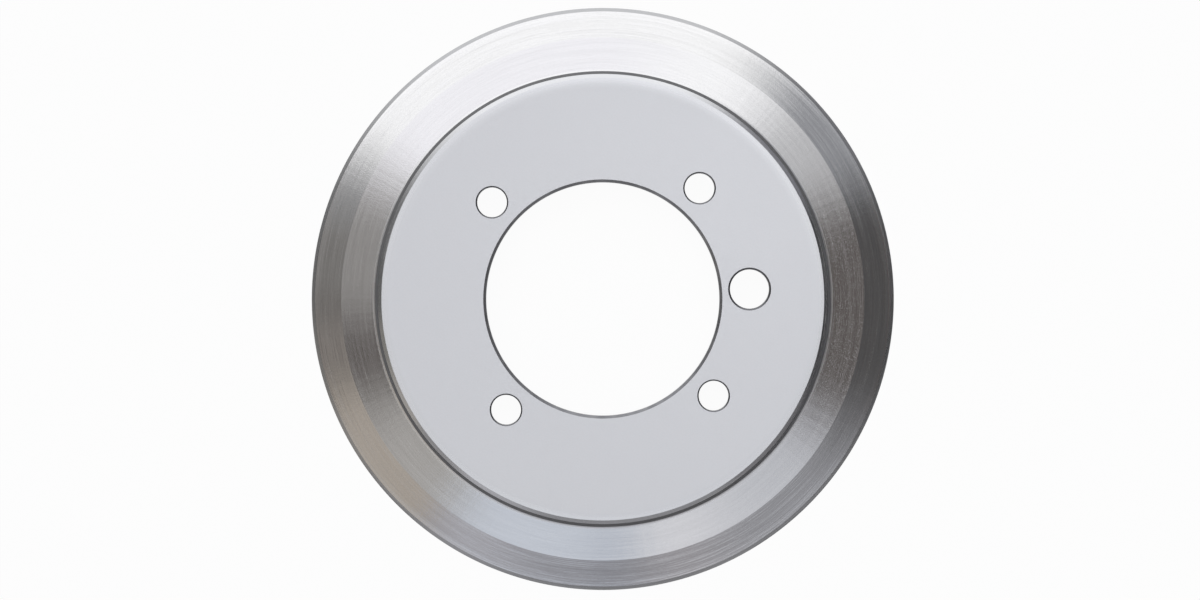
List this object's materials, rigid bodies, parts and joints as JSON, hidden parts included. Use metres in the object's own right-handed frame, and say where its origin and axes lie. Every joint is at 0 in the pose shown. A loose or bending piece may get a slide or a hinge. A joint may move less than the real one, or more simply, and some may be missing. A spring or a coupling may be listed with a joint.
{
  "type": "cutting wheel",
  "caption": "Flat steel cutting disc with a stepped and bevelled rim, a raised clamping face, a centre bore, clamping screw holes and a driving pin hole.",
  "frame": {"origin": "centre of the flat back face, on which the wheel lies", "axes": "+Z along the wheel's axis, from the flat back to the stepped face; +X through the driving pin hole"},
  "size_m": [0.125, 0.125, 0.006],
  "materials": {
    "ground_steel": "fine turned and ground, with a matte clamping face"
  },
  "bodies": {
    "root": {"cutting_wheel": "ground_steel"}
  },
  "joints": []
}
